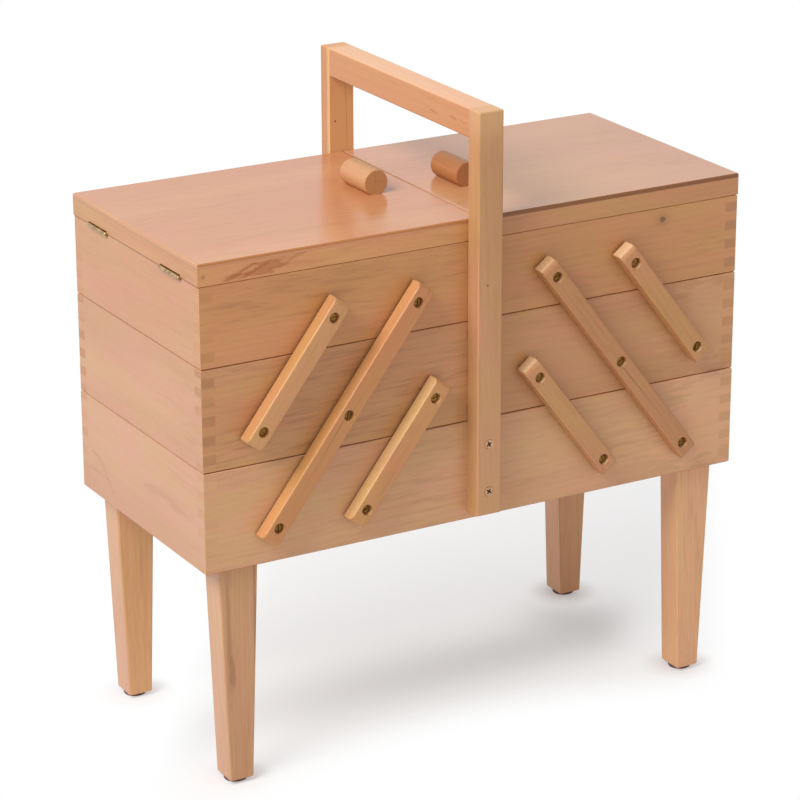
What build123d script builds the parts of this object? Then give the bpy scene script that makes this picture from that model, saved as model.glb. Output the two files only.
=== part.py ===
from build123d import *
from math import atan2, degrees, hypot
import os

# Cantilever sewing carrier on legs: a full-length base tray, two half-length middle trays and
# two half-length top trays with hinged lids. Parallel levers on the front and back carry the
# trays out to each side. Millimetres, +Z up, +X along the length, -Y the front face, origin on
# the floor under the middle.

# Trays
case_length = 440.0  # outside length of the base tray
case_depth = 200.0  # outside depth of the base tray
wall = 10.0  # thickness of every tray board
tray_height = 75.0  # base and middle trays, seam to seam
top_tray_height = 59.0  # top trays, seam to seam
seam_gap = 0.4  # shadow gap between stacked trays
middle_gap = 1.0  # between the left and right halves
upper_inset = 0.5  # upper trays and lids stand this far back from the handle posts
edge_ease = 0.5  # chamfer on the outside edges of trays, posts and bar
finger_height = 7.0  # one finger of the corner joints
finger_pitch = 14.0
base_panel_thickness = 6.0
panel_thickness = 4.0
panel_lift = 3.0  # underside of an upper tray's panel above the tray's underside
groove_depth = 4.0  # how far the panels reach into the boards
groove_end_gap = 0.3  # free space at the bottom of the grooves

# Legs and glides
leg_height = 165.0
leg_top_width = 31.0
leg_foot_width = 18.5
leg_thickness = 22.0
leg_end_inset = 12.5  # outer side of a leg's top to the end of the case
leg_side_inset = 6.0  # outer side of a leg to the face of the case
leg_edge_ease = 1.2
glide_radius = 8.5
glide_thickness = 3.0

# Levers and their pivots
lever_width = 14.5
lever_thickness = 11.0
lever_overrun = 12.5  # pivot centre to the end of a lever
lever_corner_ease = 1.6
lever_edge_ease = 0.8  # around the outer face
top_pivot_from_middle = 57.0  # long lever's top pivot, from the middle of the case
tray_travel = 111.5  # how far each tray moves out over the one below
inner_pivot_spacing = 69.5  # long lever to the short lever nearer the middle
outer_pivot_spacing = 66.5  # long lever to the short lever nearer the end
base_pivot_height = 29.0  # above the base tray's underside
pivot_step = 2.0  # each tray's pivots sit this much lower on it than on the tray below
pivot_radius = 4.1  # barrel of a pivot screw, standing on the board
pivot_clearance = 0.05  # radial, barrel to lever
pivot_sink = 1.8  # end of the barrel below the lever's face
side_play = 1.5  # a washer's thickness, from the board of the base tray to a lever

# Handle
post_width = 20.0
post_thickness = 14.0
post_rise = 6.0  # foot of a post above the base tray's underside
handle_height = 304.5  # top of the handle above the base tray's underside
bar_height = 21.0
handle_edge_ease = 1.0
tenon_width = 10.0  # stub tenons that join the bar to the posts
tenon_height = 13.0
tenon_length = 9.0
tenon_clearance = 0.05

# Lids
lid_frame_height = 12.5
lid_panel_thickness = 3.5
lid_rail_width = 14.0
lid_overhang = 1.0  # past the outer end of the top tray
lid_mitre_gap = 0.1  # glue line of the frame's corners
lid_edge_ease = 0.8
knob_radius = 9.5
knob_flat = 1.0  # cut off the underside of the dowel
knob_length = 37.0
knob_from_middle = {"left": 35.0, "right": 32.0}
knob_offset = {"left": 4.5, "right": -10.5}  # centre of each knob along the depth

# Butt hinges on the outer ends
hinge_spacing = 116.0
hinge_length = 30.0
hinge_leaf_width = 8.0
hinge_leaf_thickness = 1.0
hinge_barrel_radius = 1.8
hinge_axis_out = 1.6  # axis outside the end of the top tray
hinge_relief_gap = 0.3  # wood cut back around the barrel
knuckle_gap = 0.15

# Levels and places worked out from the sizes above
half_length = case_length / 2
half_depth = case_depth / 2
upper_half_depth = half_depth - upper_inset
inner_end = middle_gap / 2
base_level = glide_thickness + leg_height
middle_level = base_level + tray_height
top_level = middle_level + tray_height
lid_level = top_level + top_tray_height
lid_panel_level = lid_level + lid_frame_height
lid_top = lid_panel_level + lid_panel_thickness
handle_top = base_level + handle_height
post_foot = base_level + post_rise
lever_plane = half_depth + side_play
pivot_end = lever_plane + lever_thickness - pivot_sink
lever_run = tray_travel / 2
lever_rise = tray_height - pivot_step
lever_lean = degrees(atan2(lever_rise, lever_run))
swing = 180 - 2 * lever_lean
base_pivot_level = base_level + base_pivot_height
hinge_axis_x = half_length + hinge_axis_out
hinge_axis_z = lid_level - seam_gap / 2
hinge_clear_radius = hinge_barrel_radius + hinge_relief_gap
leg_centre_x = half_length - leg_end_inset - leg_top_width / 2
leg_centre_y = half_depth - leg_side_inset - leg_thickness / 2

sides = {"left": -1, "right": 1}
faces = {"front": -1, "back": 1}

# Pivots of each lever: distance from the middle of the case and level, lowest first
long_x = top_pivot_from_middle + tray_travel
long_pivots = [(long_x - i * lever_run, base_pivot_level + i * lever_rise) for i in range(3)]
inner_pivots = [(x - inner_pivot_spacing, z) for x, z in long_pivots[:2]]
outer_pivots = [(x + outer_pivot_spacing, z) for x, z in long_pivots[1:]]
levers = {"long": long_pivots, "inner": inner_pivots, "outer": outer_pivots}
tray_pivots = {
    "base": [long_pivots[0], inner_pivots[0]],
    "middle": [long_pivots[1], inner_pivots[1], outer_pivots[0]],
    "top": [long_pivots[2], outer_pivots[1]],
}


def face_plane(face, distance):
    # a plane facing out of the front or back, with its own Y up
    return Plane(origin=(0, face * distance, 0), x_dir=(-face, 0, 0), z_dir=(0, face, 0))


def on_face(face, points):
    # the same places in the coordinates of face_plane
    return [(-face * x, z) for x, z in points]


def outward(face):
    # direction for sorting: the last face is then the one on the front or on the back
    return Axis((0, 0, 0), (0, face, 0))


def mirrored(points, side):
    return [(side * x, z) for x, z in points]


# Places of the repeated pieces
hinge_places = (-hinge_spacing / 2, hinge_spacing / 2)
leg_places = [(sx * leg_centre_x, sy * leg_centre_y) for sx in sides.values() for sy in faces.values()]

os.makedirs("parts", exist_ok=True)


def hinge_seats(side, level, into):
    # mortises for the hinge leaves and notches around the barrels, cut up into a lid or down into a tray
    seat_length = hinge_length + 2 * knuckle_gap
    with BuildPart() as seats:
        with BuildSketch(Plane.XY.offset(level)):
            with Locations([(side * half_length, y) for y in hinge_places]):
                Rectangle(2 * hinge_leaf_width, seat_length)
        extrude(amount=into * hinge_leaf_thickness)
        with BuildSketch(Plane.XY.offset(level)):
            with Locations([(side * hinge_axis_x, y) for y in hinge_places]):
                Rectangle(2 * hinge_clear_radius, seat_length)
        extrude(amount=into * (hinge_clear_radius - seam_gap / 2))
    return seats.part


def make_tray(name, x_low, x_high, half_y, level, height, panel_level, panel, hinge_side=0):
    # four finger-jointed boards around a bottom panel that is let into them
    length = x_high - x_low
    centre = (x_low + x_high) / 2
    mid_level = level + height / 2
    count = int(height // finger_pitch)
    fingers = [mid_level + (i - (count - 1) / 2) * finger_pitch for i in range(count)]
    panel_x = length - 2 * (wall - groove_depth)
    panel_y = 2 * (half_y - wall + groove_depth)

    # outside form shared by the four boards, with its rims eased
    with BuildPart() as form:
        with BuildSketch(Plane.XY.offset(level)):
            with Locations((centre, 0)):
                Rectangle(length, 2 * half_y)
        extrude(amount=height)
        chamfer(form.faces().filter_by(Axis.Z).edges(), edge_ease)

    # space taken by the panel and by the bottom of its groove
    with BuildPart() as groove:
        with BuildSketch(Plane.XY.offset(panel_level)):
            with Locations((centre, 0)):
                Rectangle(panel_x + 2 * groove_end_gap, panel_y + 2 * groove_end_gap)
        extrude(amount=panel)

    corners = [(x, z) for x in (x_low + wall / 2, x_high - wall / 2) for z in fingers]
    for face_name, face in faces.items():
        with BuildPart() as board:
            with BuildSketch(face_plane(face, half_y - wall)):
                with Locations((-face * centre, mid_level)):
                    Rectangle(length, height)
                with Locations(on_face(face, corners)):
                    Rectangle(wall, finger_height, mode=Mode.SUBTRACT)
            extrude(amount=wall)
            add(groove.part, mode=Mode.SUBTRACT)
            add(form.part, mode=Mode.INTERSECT)
        board.part.label = f"{name}_{face_name}_board"
        export_step(board.part, f"parts/{name}_{face_name}_board.step")

    finger_ends = [(y, z) for y in (wall / 2 - half_y, half_y - wall / 2) for z in fingers]
    seats = hinge_seats(hinge_side, level + height, -1) if hinge_side else None
    with BuildPart() as ends:
        for start in (x_low, x_high - wall):
            with BuildSketch(Plane.YZ.offset(start)):
                with Locations((0, mid_level)):
                    Rectangle(2 * (half_y - wall), height)
                with Locations(finger_ends):
                    Rectangle(wall, finger_height)
            extrude(amount=wall)
        add(groove.part, mode=Mode.SUBTRACT)
        if seats:
            add(seats, mode=Mode.SUBTRACT)
        add(form.part, mode=Mode.INTERSECT)
    ends.part.label = f"{name}_end_boards"
    export_step(ends.part, f"parts/{name}_end_boards.step")

    with BuildPart() as bottom:
        with BuildSketch(Plane.XY.offset(panel_level)):
            with Locations((centre, 0)):
                Rectangle(panel_x, panel_y)
        extrude(amount=panel)
    bottom.part.label = f"{name}_bottom_panel"
    export_step(bottom.part, f"parts/{name}_bottom_panel.step")


def make_pivots(name, pivots, half_y):
    # barrels of the pivot screws: each stands on a board's face and ends below the face of its lever
    with BuildPart() as barrels:
        for face in faces.values():
            with BuildSketch(face_plane(face, half_y)):
                with Locations(on_face(face, pivots)):
                    Circle(pivot_radius)
            extrude(amount=pivot_end - half_y)
    barrels.part.label = f"{name}_pivot_screws"
    export_step(barrels.part, f"parts/{name}_pivot_screws.step")


def make_lever(name, face, pivots):
    # straight flat bar with eased corners, bored for its pivots
    (x0, z0), (x1, z1) = pivots[0], pivots[-1]
    span = hypot(x1 - x0, z1 - z0)
    along = ((x1 - x0) / span, 0, (z1 - z0) / span)
    inside = Plane(origin=(x0, face * lever_plane, z0), x_dir=along, z_dir=(0, face, 0))
    with BuildPart() as lever:
        with BuildSketch(inside) as outline:
            with Locations((span / 2, 0)):
                Rectangle(span + 2 * lever_overrun, lever_width)
            chamfer(outline.vertices(), lever_corner_ease)
        extrude(amount=lever_thickness)
        chamfer(lever.faces().sort_by(outward(face))[-1].edges(), lever_edge_ease)
        with BuildSketch(inside):
            with Locations([(span * i / (len(pivots) - 1), 0) for i in range(len(pivots))]):
                Circle(pivot_radius + pivot_clearance)
        extrude(amount=lever_thickness, mode=Mode.SUBTRACT)
    lever.part.label = name
    export_step(lever.part, f"parts/{name}.step")


def make_leg(name, x, y):
    # four-sided leg, tapered along the case only, with its long edges eased
    foot, top = leg_foot_width / 2, leg_top_width / 2
    foot_corners = [(x - foot, glide_thickness), (x + foot, glide_thickness)]
    top_corners = [(x + top, base_level), (x - top, base_level)]
    with BuildPart() as leg:
        with BuildSketch(Plane.XZ.offset(-y)):
            with BuildLine():
                Polyline(*foot_corners, *top_corners, close=True)
            make_face()
        extrude(amount=leg_thickness / 2, both=True)
        chamfer(leg.edges().group_by(SortBy.LENGTH)[-1], leg_edge_ease)
    leg.part.label = name
    export_step(leg.part, f"parts/{name}.step")


# Trays
seam_height = tray_height - seam_gap
make_tray(
    "base", -half_length, half_length, half_depth, base_level, seam_height,
    base_level, base_panel_thickness,
)
for side_name, side in sides.items():
    ends_x = sorted((side * inner_end, side * half_length))
    make_tray(
        f"{side_name}_middle", *ends_x, upper_half_depth, middle_level, seam_height,
        middle_level + panel_lift, panel_thickness,
    )
    make_tray(
        f"{side_name}_top", *ends_x, upper_half_depth, top_level, top_tray_height - seam_gap,
        top_level + panel_lift, panel_thickness, hinge_side=side,
    )

# Pivots and levers
make_pivots("base", tray_pivots["base"] + mirrored(tray_pivots["base"], -1), half_depth)
for side_name, side in sides.items():
    for tray_name in ("middle", "top"):
        make_pivots(f"{side_name}_{tray_name}", mirrored(tray_pivots[tray_name], side), upper_half_depth)
    for lever_name, pivots in levers.items():
        for face_name, face in faces.items():
            make_lever(f"{side_name}_{face_name}_{lever_name}_lever", face, mirrored(pivots, side))

# Legs and their glides
for side_name, side in sides.items():
    for face_name, face in faces.items():
        make_leg(f"{side_name}_{face_name}_leg", side * leg_centre_x, face * leg_centre_y)

with BuildPart() as glides:
    with BuildSketch():
        with Locations(leg_places):
            Circle(glide_radius)
    extrude(amount=glide_thickness)
glides.part.label = "leg_glides"
export_step(glides.part, "parts/leg_glides.step")

# Carrying handle: two posts on the faces of the base tray and a bar tenoned between them
tenon_level = handle_top - bar_height / 2
for face_name, face in faces.items():
    with BuildPart() as post:
        with BuildSketch(Plane((0, face * (half_depth + post_thickness / 2), post_foot))):
            Rectangle(post_width, post_thickness)
        extrude(amount=handle_top - post_foot)
        across = post.faces().sort_by(outward(face))
        top = post.faces().sort_by(Axis.Z)[-1]
        chamfer((across[-1].edges() + top.edges()) - across[0].edges(), handle_edge_ease)
        with BuildSketch(face_plane(face, half_depth)):
            with Locations((0, tenon_level)):
                Rectangle(tenon_width + 2 * tenon_clearance, tenon_height + 2 * tenon_clearance)
        extrude(amount=tenon_length + tenon_clearance, mode=Mode.SUBTRACT)
    post.part.label = f"{face_name}_post"
    export_step(post.part, f"parts/{face_name}_post.step")

with BuildPart() as crossbar:
    with BuildSketch(Plane.XZ.offset(-half_depth)) as section:
        with Locations((0, tenon_level)):
            Rectangle(post_width, bar_height)
        chamfer(section.vertices(), handle_edge_ease)
    extrude(amount=case_depth)
    for face in faces.values():
        with BuildSketch(face_plane(face, half_depth)):
            with Locations((0, tenon_level)):
                Rectangle(tenon_width, tenon_height)
        extrude(amount=tenon_length)
crossbar.part.label = "crossbar"
export_step(crossbar.part, "parts/crossbar.step")

# Lids: a mitred frame under a thin panel, with a dowel laid across as the knob
lid_length = half_length + lid_overhang - inner_end
lid_depth = 2 * upper_half_depth
for side_name, side in sides.items():
    lid_centre = side * (inner_end + lid_length / 2)
    seats = hinge_seats(side, lid_level, 1)
    with BuildPart() as frame:
        with BuildSketch(Plane.XY.offset(lid_level)) as outline:
            with Locations((lid_centre, 0)):
                Rectangle(lid_length, lid_depth)
            chamfer(outline.vertices(), edge_ease)
            with Locations((lid_centre, 0)):
                Rectangle(lid_length - 2 * lid_rail_width, lid_depth - 2 * lid_rail_width, mode=Mode.SUBTRACT)
            for end in (-1, 1):
                for face in faces.values():
                    corner = (lid_centre + end * lid_length / 2, face * upper_half_depth, 0)
                    with Locations(Location(corner, (0, 0, 45 * end * face))):
                        Rectangle(4 * lid_rail_width, lid_mitre_gap, mode=Mode.SUBTRACT)
        extrude(amount=lid_frame_height)
        add(seats, mode=Mode.SUBTRACT)
    frame.part.label = f"{side_name}_lid_frame"
    export_step(frame.part, f"parts/{side_name}_lid_frame.step")

    with BuildPart() as lid_panel:
        with BuildSketch(Plane.XY.offset(lid_panel_level)) as outline:
            with Locations((lid_centre, 0)):
                Rectangle(lid_length, lid_depth)
            chamfer(outline.vertices(), edge_ease)
        extrude(amount=lid_panel_thickness)
        chamfer(lid_panel.faces().sort_by(Axis.Z)[-1].edges(), lid_edge_ease)
    lid_panel.part.label = f"{side_name}_lid_panel"
    export_step(lid_panel.part, f"parts/{side_name}_lid_panel.step")

    knob_axis = (side * knob_from_middle[side_name], lid_top + knob_radius - knob_flat)
    with BuildPart() as knob:
        with BuildSketch(Plane.XZ.offset(-knob_offset[side_name])):
            with Locations(knob_axis):
                Circle(knob_radius)
        extrude(amount=knob_length / 2, both=True)
        split(bisect_by=Plane.XY.offset(lid_top), keep=Keep.TOP)
    knob.part.label = f"{side_name}_knob"
    export_step(knob.part, f"parts/{side_name}_knob.step")

# Butt hinges: two knuckles on the tray's leaf and the lid's one between them, closed over the pin
knuckle = (hinge_length - 2 * knuckle_gap) / 3
knuckle_places = {"tray": (-knuckle - knuckle_gap, knuckle + knuckle_gap), "lid": (0,)}
leaf_x = half_length - hinge_leaf_width
trimmed_x = hinge_axis_x - hinge_clear_radius
for side_name, side in sides.items():
    for leaf_name, up in (("tray", -1), ("lid", 1)):
        leaf_z = hinge_axis_z + up * (seam_gap + hinge_leaf_thickness) / 2
        with BuildPart() as leaves:
            for y in hinge_places:
                with BuildSketch(Plane.XZ.offset(-y)):
                    with Locations((side * (leaf_x + trimmed_x) / 2, leaf_z)):
                        Rectangle(trimmed_x - leaf_x, hinge_leaf_thickness)
                extrude(amount=hinge_length / 2, both=True)
                for offset in knuckle_places[leaf_name]:
                    with BuildSketch(Plane.XZ.offset(-y - offset)):
                        with Locations((side * (leaf_x + hinge_axis_x) / 2, leaf_z)):
                            Rectangle(hinge_axis_x - leaf_x, hinge_leaf_thickness)
                        with Locations((side * hinge_axis_x, hinge_axis_z)):
                            Circle(hinge_barrel_radius)
                    extrude(amount=knuckle / 2, both=True)
        leaves.part.label = f"{side_name}_hinge_{leaf_name}_leaves"
        export_step(leaves.part, f"parts/{side_name}_hinge_{leaf_name}_leaves.step")

print(f"levers lean {lever_lean:.2f} degrees, swing {swing:.2f} degrees")
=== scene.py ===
from math import atan2, cos, degrees, hypot, pi, radians, sin

import bmesh
import bpy
from mathutils import Euler, Matrix, Vector


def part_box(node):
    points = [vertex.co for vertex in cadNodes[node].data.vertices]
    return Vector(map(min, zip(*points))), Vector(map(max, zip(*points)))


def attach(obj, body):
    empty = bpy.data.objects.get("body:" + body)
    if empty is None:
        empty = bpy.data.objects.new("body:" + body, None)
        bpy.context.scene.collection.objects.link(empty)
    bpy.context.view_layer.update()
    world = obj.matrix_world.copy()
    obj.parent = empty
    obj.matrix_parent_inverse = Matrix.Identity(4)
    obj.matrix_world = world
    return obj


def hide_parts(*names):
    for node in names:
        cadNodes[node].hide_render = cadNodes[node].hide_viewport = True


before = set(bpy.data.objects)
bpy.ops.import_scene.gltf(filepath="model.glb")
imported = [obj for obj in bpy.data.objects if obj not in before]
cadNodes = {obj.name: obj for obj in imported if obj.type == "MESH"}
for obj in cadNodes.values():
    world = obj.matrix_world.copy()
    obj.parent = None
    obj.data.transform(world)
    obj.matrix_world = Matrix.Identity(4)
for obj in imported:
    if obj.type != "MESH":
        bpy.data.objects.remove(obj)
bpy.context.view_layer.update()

# Sewing carrier with two lids: woods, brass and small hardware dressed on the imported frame.
# Sizes in the dictionaries are millimetres, and mm turns them into Blender's metres. Only those of the
# camera, the lamps and the floor are metres.

mm = 0.001
sides = {"left": -1, "right": 1}
faces = {"front": -1, "back": 1}
print("frame loaded,", len(cadNodes), "nodes")


# Shader building: sockets that can be added and multiplied like numbers

class Value:
    def __init__(self, shader, socket):
        self.shader = shader
        self.socket = socket

    def __add__(self, other):
        return self.shader.maths("ADD", self, other)

    def __sub__(self, other):
        return self.shader.maths("SUBTRACT", self, other)

    def __rsub__(self, other):
        return self.shader.maths("SUBTRACT", other, self)

    def __mul__(self, other):
        return self.shader.maths("MULTIPLY", self, other)

    def __truediv__(self, other):
        return self.shader.maths("DIVIDE", self, other)

    def __pow__(self, other):
        return self.shader.maths("POWER", self, other)

    __radd__ = __add__
    __rmul__ = __mul__


# The noises of the woods, the brass and the plastic. scales is how many features a metre holds along each
# direction, shift sets one noise apart from the others, and cuts are the values that become 0 and 1.
noises = {
    "wander": {"scales": (3.0, 16, 16), "shift": 0.0, "detail": 2.0, "roughness": 0.5},
    "stray": {"scales": (60, 300, 300), "shift": 3.3, "detail": 2.0, "roughness": 0.5},
    "drift": {"scales": (3.4, 20, 20), "shift": 4.1, "detail": 2.0, "roughness": 0.5},
    "blush": {"scales": (13, 38, 38), "shift": 9.7, "detail": 3.0, "roughness": 0.6, "cuts": (0.36, 0.64)},
    "fibres": {"scales": (14, 430, 430), "shift": 8.3, "detail": 3.0, "roughness": 0.65},
    "strands": {"scales": (60, 1500, 1500), "shift": 2.7, "detail": 2.0, "roughness": 0.7},
    "dashes": {"scales": (120, 900, 900), "shift": 6.9, "detail": 2.5, "roughness": 0.7, "cuts": (0.6, 0.72)},
    "veins": {"scales": (26, 300, 300), "shift": 12.1, "detail": 4, "roughness": 0.62, "cuts": (0.48, 0.68)},
    "patches": {"scales": (6, 17, 17), "shift": 13.9, "detail": 1.0, "roughness": 0.5, "cuts": (0.40, 0.60)},
    "pores": {"scales": (300, 1500, 1500), "shift": 1.9, "detail": 2.0, "roughness": 0.7},
    "uneven": {"scales": (9, 9, 47), "shift": 5.5, "detail": 1.0, "roughness": 0.5, "cuts": (0.3, 0.66)},
    "tarnish": {"scales": (260, 260, 260), "shift": 3.1, "detail": 3.0, "roughness": 0.6},
    "grit": {"scales": (2600, 2600, 2600), "shift": 5.7, "detail": 2.0, "roughness": 0.5},
    "scuffs": {"scales": (300, 300, 900), "shift": 1.7, "detail": 3.0, "roughness": 0.6},
}
# a Mix node's data type, and the numbers of its two inputs and of its output, by what it mixes
mixSockets = {"colour": ("RGBA", 6, 7, 2), "place": ("VECTOR", 4, 5, 1)}


class Shader:
    def __init__(self, tree):
        self.tree = tree

    def node(self, kind, settings=None, sockets=None, output=0):
        # settings go first, because they can change which sockets there are
        made = self.tree.nodes.new(kind)
        for key, setting in (settings or {}).items():
            setattr(made, key, setting)
        for key, value in (sockets or {}).items():
            self.feed(made.inputs[key], value)
        return Value(self, made.outputs[output])

    def feed(self, socket, value):
        if isinstance(value, Value):
            self.tree.links.new(value.socket, socket)
        else:
            socket.default_value = value

    def maths(self, operation, *values):
        return self.node("ShaderNodeMath", {"operation": operation}, dict(enumerate(values)))

    def vector(self, operation, *values, output=0):
        return self.node("ShaderNodeVectorMath", {"operation": operation}, dict(enumerate(values)), output)

    def within(self, value, low, high):
        # 0 at low and 1 at high, smoothly
        return self.node(
            "ShaderNodeMapRange", {"interpolation_type": "SMOOTHSTEP"},
            {"Value": value, "From Min": low, "From Max": high},
        )

    def mix(self, kind, amount, first, second):
        # a Mix node's sockets share their names, so they go by number
        dataType, firstSocket, secondSocket, output = mixSockets[kind]
        sockets = {0: amount, firstSocket: first, secondSocket: second}
        return self.node("ShaderNodeMix", {"data_type": dataType}, sockets, output)

    def blend(self, amount, first, second):
        return self.mix("colour", amount, first, second)

    def noise(self, kind, place, seed=0):
        own = noises[kind]
        shift = seed + own["shift"]
        spread = self.vector("MULTIPLY_ADD", place, own["scales"], (shift * 3.7, shift * 1.3, shift * 2.9))
        value = self.node(
            "ShaderNodeTexNoise", None,
            {"Vector": spread, "Scale": 1.0, "Detail": own["detail"], "Roughness": own["roughness"]},
        )
        return self.within(value, *own["cuts"]) if "cuts" in own else value

    def parts(self, place):
        split = self.tree.nodes.new("ShaderNodeSeparateXYZ")
        self.feed(split.inputs[0], place)
        return [Value(self, end) for end in split.outputs]


def newFinish(name, **constants):
    # a material and its Principled shader, with what is the same all over set on its sockets
    material = bpy.data.materials.new(name)
    material.use_nodes = True
    shader = Shader(material.node_tree)
    surface = material.node_tree.nodes["Principled BSDF"]
    for key, value in constants.items():
        surface.inputs[key.replace("_", " ")].default_value = value
    return material, shader, surface


def feedSurface(shader, surface, colour, roughness, relief, strength, distance):
    # distance is how many millimetres the relief stands out
    bump = shader.node(
        "ShaderNodeBump", None, {"Strength": strength, "Distance": distance * mm, "Height": relief},
    )
    for key, value in {"Base Color": colour, "Roughness": roughness, "Normal": bump}.items():
        shader.feed(surface.inputs[key], value)


def rgb(red, green, blue):
    return (red, green, blue, 1.0)


# Woods. tone is the colour of a piece as a whole, and the rest is the figure on it. The end grain goes
# from endPale to that colour times end: endShare is how far it goes, and endEven how much of it shows
# everywhere. rings, fibres, flecks, veins and blush say how strongly each of them shows. under is how
# much painted shade darkens the eased edges that look down, where the seams between pieces lie, and
# faceTints are painted light and shade: tints that make the faces that look one way paler or darker,
# as the lamps fall on them.
def wood(tone, **changes):
    figure = {
        "tone": tone, "endPale": tone, "end": (0.84, 0.74, 0.68), "endShare": 1.0, "endEven": 0.0,
        "rings": 0.13, "ringWidth": 4.2, "fibres": 0.32, "flecks": 0.26, "veins": 0.42, "blush": 1.0,
        "under": 0.0, "faceTints": (), "roughness": 0.34, "coat": 0.12,
    }
    figure.update(changes)
    return figure


def tinted(tone, tint):
    return (tone[0] * tint[0], tone[1] * tint[1], tone[2] * tint[2], 1.0)


# Marks on the wood, by node. A mark has its middle and its reach in X, Y and Z as the grain lies. bend is
# how far the rings go round it, and halo, core and rim are how strongly it shows around, inside and at
# its edge, which begins at the share fades of its reach.
woodMarks = {}


def spot(at, size, family=None, **changes):
    mark = {
        "at": at, "size": size, "bend": 0, "halo": 0.0, "core": 0.5, "rim": 0.0, "fades": 0.7, "ragged": 0.6,
    }
    mark.update(family or {})
    mark.update(changes)
    return mark


grainTurns = {"x": (0, 0, 0), "y": (0, 0, -90), "z": (0, 90, 0)}


def alongGrain(shader, coords, turn, centre, seed):
    # object coordinates turned so that the grain runs along X, a little askew, beside the log's heart
    tilt = (0, 1.6 * sin(seed * 2.1), 1.3 * cos(seed * 1.7))
    spin = Euler([radians(a + b) for a, b in zip(turn, tilt)])
    heart = Vector((0.0, 0.05 + 0.03 * sin(seed * 5.3), 0.06 * cos(seed * 3.1)))
    shift = heart - spin.to_matrix() @ Vector(centre)
    place = shader.node(
        "ShaderNodeMapping", {"vector_type": "POINT"},
        {"Vector": coords, "Rotation": spin, "Location": shift},
    )
    return place, spin, shift


def knotReach(shader, place, spin, shift, mark, stray):
    # 0 in the middle of a knot or flame and 1 at its rim
    at = spin.to_matrix() @ (Vector(mark["at"]) * mm) + shift
    off = shader.vector("SUBTRACT", place, at)
    if "lean" in mark:
        # the figure leans over: it slides along the grain as it goes up the board
        x, _, z = shader.parts(off)
        off = shader.node("ShaderNodeCombineXYZ", None, {"X": x - z * mark["lean"], "Z": z})
    if "tilt" in mark:
        # or it climbs as it runs along the grain
        x, _, z = shader.parts(off)
        off = shader.node("ShaderNodeCombineXYZ", None, {"X": x, "Z": z - x * mark["tilt"]})
    scaled = shader.vector("MULTIPLY", off, [1000 / size for size in mark["size"]])
    return shader.vector("LENGTH", scaled, output="Value") + (stray - 0.5) * mark["ragged"]


# What all the woods share: how far their rings wander, how much rougher fibres and end grain are, how much
# coat is missing over the dashes, and how the relief is made up.
woodShared = {
    "wander": 20.0, "endLimit": 0.8, "fibreRough": 0.10, "endRough": 0.12, "bareDashes": 0.5,
    "relief": {"fibres": 0.5, "strands": 0.2, "dashes": -0.6, "late": 0.25},
}
# and the tints of its tone that a wood's parts have
woodTints = {
    "paler": (1.05, 1.07, 1.09), "warmer": (0.96, 0.93, 0.90), "greener": (0.975, 1.025, 0.93),
    "pinker": (1.025, 0.96, 1.06), "lines": (0.66, 0.53, 0.44), "veins": (0.74, 0.69, 0.68),
    # under is the colour of the painted shade on eased edges that look down
    "pores": (0.68, 0.56, 0.48), "under": (0.56, 0.24, 0.05),
}


def growGrain(shader, place, seed, radius, ringWidth):
    # the parts of the figure, as shares of how strongly each shows at a place
    kinds = ("drift", "blush", "fibres", "strands", "dashes", "veins", "patches")
    grain = {kind: shader.noise(kind, place, seed) for kind in kinds}
    ring = shader.maths("FRACT", radius / (ringWidth * mm))
    grain["late"] = ring ** 3 * (1 - shader.within(ring, 0.9, 1.0))
    return grain


def longGrain(shader, figure, grain, deep):
    # the wood drifts between a pinker and a greener tan, under its rings, fibres, flecks and veins
    tone, drift = figure["tone"], grain["drift"]
    pale, warm = tinted(tone, woodTints["paler"]), tinted(tone, woodTints["warmer"])
    colour = shader.blend(shader.within(drift, 0.3, 0.7), pale, warm)
    hue = shader.blend(grain["blush"], rgb(*woodTints["greener"]), rgb(*woodTints["pinker"]))
    colour = shader.vector("MULTIPLY", colour, shader.blend(figure["blush"], rgb(1, 1, 1), hue))
    colour = shader.blend(grain["late"] * figure["rings"], colour, deep)
    grouped = shader.within(drift, 0.35, 0.6) * 0.7 + 0.3
    streak = shader.within(grain["fibres"], 0.48, 0.78) * grouped * figure["fibres"]
    colour = shader.blend(streak + (grain["strands"] - 0.3) * 0.16, colour, deep)
    colour = shader.blend(grain["dashes"] * figure["flecks"], colour, deep)
    # greyer wavy veins, which come in patches
    veined = grain["veins"] * grain["patches"] * figure["veins"]
    return shader.blend(veined, colour, tinted(tone, woodTints["veins"]))


def endGrain(shader, figure, coords, place, seed, late):
    pale, end = rgb(*figure["endPale"]), tinted(figure["endPale"], figure["end"])
    pores = shader.noise("pores", place, seed)
    uneven = shader.noise("uneven", coords, seed) * (1 - figure["endEven"]) + figure["endEven"]
    lines = late * (figure["rings"] * 3) + (pores - 0.35) * 0.6
    sawn = shader.blend(lines, end, tinted(end, woodTints["pores"]))
    return shader.blend(uneven * figure["endShare"], pale, sawn)


def markedColour(shader, colour, knots, deep):
    for reach, swell, mark in knots:
        colour = shader.blend(swell * mark["halo"], colour, deep)
        rim = shader.within(reach, 0.45, 0.8) * (1 - shader.within(reach, 0.9, 1.2))
        core = (1 - shader.within(reach, mark["fades"], 1.1)) * mark["core"] + rim * mark["rim"]
        colour = shader.blend(core, colour, rgb(*mark["colour"]))
    return colour


def paintedFaceLight(shader, colour, figure, normal):
    # painted light and shade: single faces tinted paler or darker as the lamps fall on them, and painted
    # shade on the eased edges that look down
    for way, tint in figure["faceTints"]:
        toward = shader.within(shader.vector("DOT_PRODUCT", normal, way, output="Value"), 0.70, 0.90)
        colour = shader.vector("MULTIPLY", colour, shader.blend(toward, rgb(1, 1, 1), rgb(*tint)))
    if figure["under"]:
        down = shader.parts(normal)[2] * -1.0
        shaded = shader.within(down, 0.3, 0.6) * (1 - shader.within(down, 0.85, 0.95)) * figure["under"]
        colour = shader.blend(shaded, colour, tinted(figure["tone"], woodTints["under"]))
    return colour


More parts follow.
